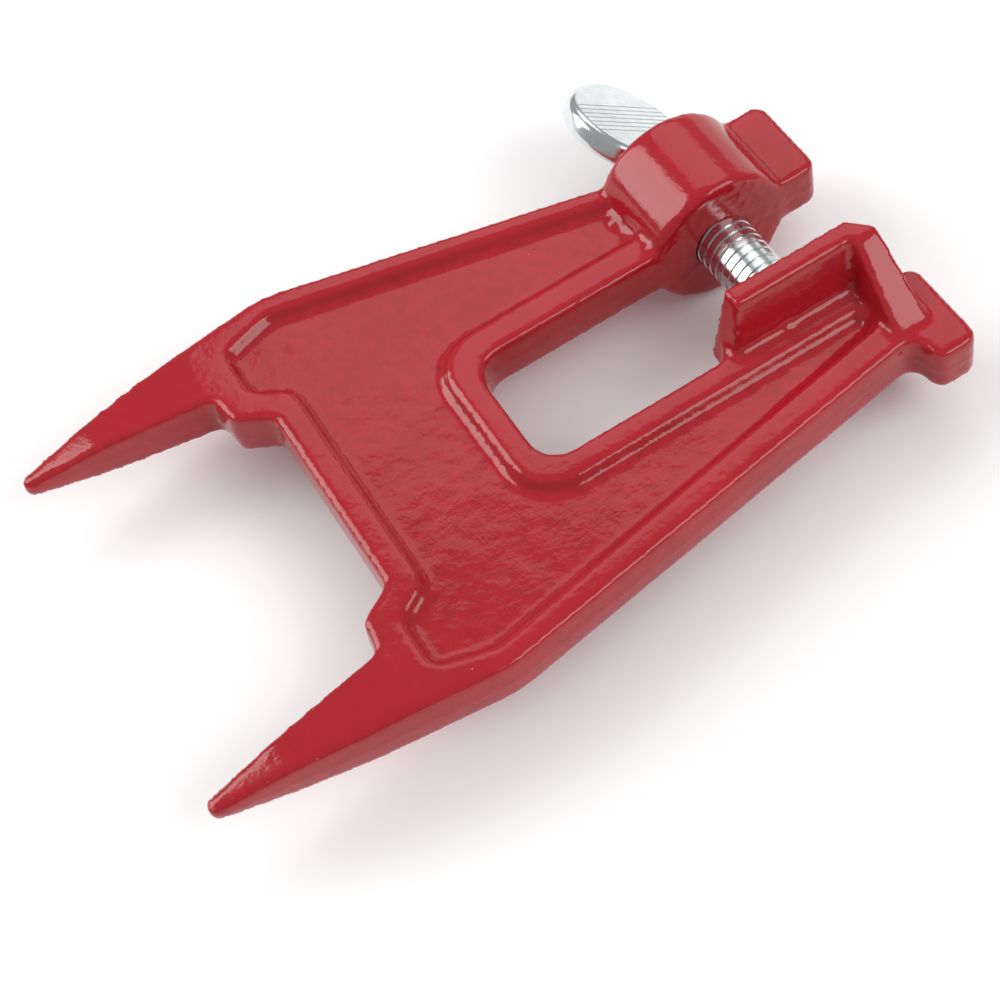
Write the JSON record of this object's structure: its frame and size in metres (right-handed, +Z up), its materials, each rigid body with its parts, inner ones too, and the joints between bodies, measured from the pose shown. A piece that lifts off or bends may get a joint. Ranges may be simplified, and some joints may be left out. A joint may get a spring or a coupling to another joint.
{
  "type": "filing vise",
  "caption": "C-shaped cast frame with two pointed spikes, a fixed jaw and a threaded boss whose flat-headed thumb screw clamps a saw's guide bar.",
  "frame": {"origin": "middle of the footprint of the vise laid flat, level with the lowest edge of the jaw", "axes": "+X from the spike tips to the open end of the mouth, +Y along the screw from the jaw to the thumb head, +Z up through the frame's thickness"},
  "size_m": [0.1662, 0.1104, 0.033],
  "materials": {
    "red_enamel": "gloss enamel over an as-cast surface",
    "zinc_plate": "bright zinc plate"
  },
  "bodies": {
    "frame": {"cast_frame": "red_enamel"},
    "screw_nose": {"thumb_screw_nose": "zinc_plate"},
    "screw": {"thumb_screw": "zinc_plate"}
  },
  "joints": [
    {"name": "screw_travel", "type": "slide", "parent": "frame", "child": "screw_nose", "axis": [0, 1, 0], "range_m": [-0.0009, 0.015]},
    {"name": "screw_turn", "type": "hinge", "parent": "screw_nose", "child": "screw", "pos_m": [0.0595, 0.01556, 0.0165], "axis": [0, 1, 0], "range_deg": [-162.5, 2700.5]}
  ],
  "couplings": [
    {"joint": "screw_turn", "follows": "screw_travel", "rad_per_m": 3141.6}
  ]
}
